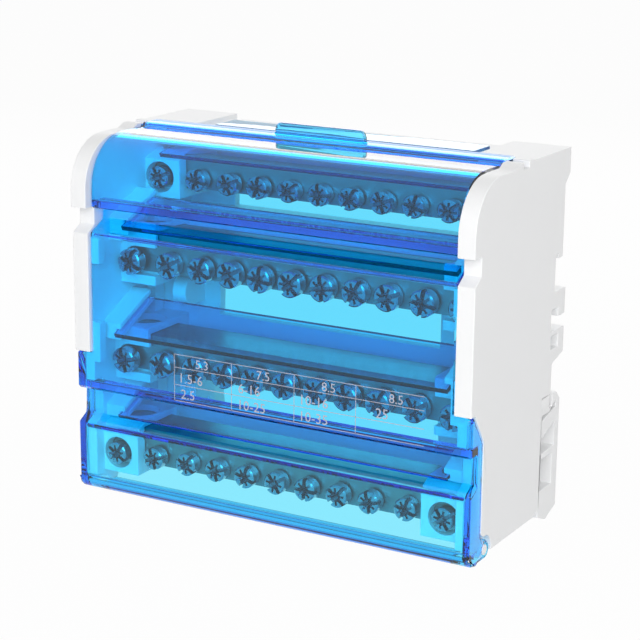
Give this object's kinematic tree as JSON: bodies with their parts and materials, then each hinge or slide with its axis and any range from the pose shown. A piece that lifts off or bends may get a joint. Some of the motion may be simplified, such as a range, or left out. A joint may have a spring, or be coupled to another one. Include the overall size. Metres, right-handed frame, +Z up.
{
  "type": "power distribution block",
  "caption": "Rail-mounted power distribution block: stepped brass terminal bars with wire screws in a white housing behind a hinged clear blue cover.",
  "frame": {"origin": "middle of the block's outer box, at its lowest point, the tips of the rail clips", "axes": "+X to the right along the bars, +Y to the rear towards the rail, +Z up"},
  "size_m": [0.1, 0.0478, 0.0875],
  "materials": {
    "white_plastic": "moulded, fine satin",
    "clear_blue_plastic": "clear tinted, polished",
    "plated_brass": "milled and tin plated, dull",
    "zinc_steel": "zinc plated"
  },
  "bodies": {
    "housing": {"base_housing": "white_plastic", "left_bar_holder": "white_plastic", "right_bar_holder": "white_plastic", "busbar_1": "plated_brass", "busbar_2": "plated_brass", "busbar_3": "plated_brass", "busbar_4": "plated_brass", "small_screws_1": "zinc_steel", "small_screws_2": "zinc_steel", "small_screws_3": "zinc_steel", "small_screws_4": "zinc_steel", "large_screws_1": "zinc_steel", "large_screws_2": "zinc_steel", "large_screws_3": "zinc_steel", "large_screws_4": "zinc_steel", "barrier_1": "clear_blue_plastic", "barrier_2": "clear_blue_plastic", "barrier_3": "clear_blue_plastic", "barrier_4": "clear_blue_plastic", "top_guard_plate": "clear_blue_plastic"},
    "cover": {"front_cover": "clear_blue_plastic"},
    "left_clip": {"left_rail_clip": "white_plastic"},
    "right_clip": {"right_rail_clip": "white_plastic"}
  },
  "joints": [
    {"name": "cover_hinge", "type": "hinge", "parent": "housing", "child": "cover", "pos_m": [0, -0.01475, 0.0036], "axis": [1, 0, 0], "range_deg": [0, 110]},
    {"name": "left_clip_slide", "type": "slide", "parent": "housing", "child": "left_clip", "axis": [0, 0, -1], "range_m": [0, 0.004], "stiffness_N_per_m": 2000},
    {"name": "right_clip_slide", "type": "slide", "parent": "housing", "child": "right_clip", "axis": [0, 0, -1], "range_m": [0, 0.004], "stiffness_N_per_m": 2000}
  ]
}
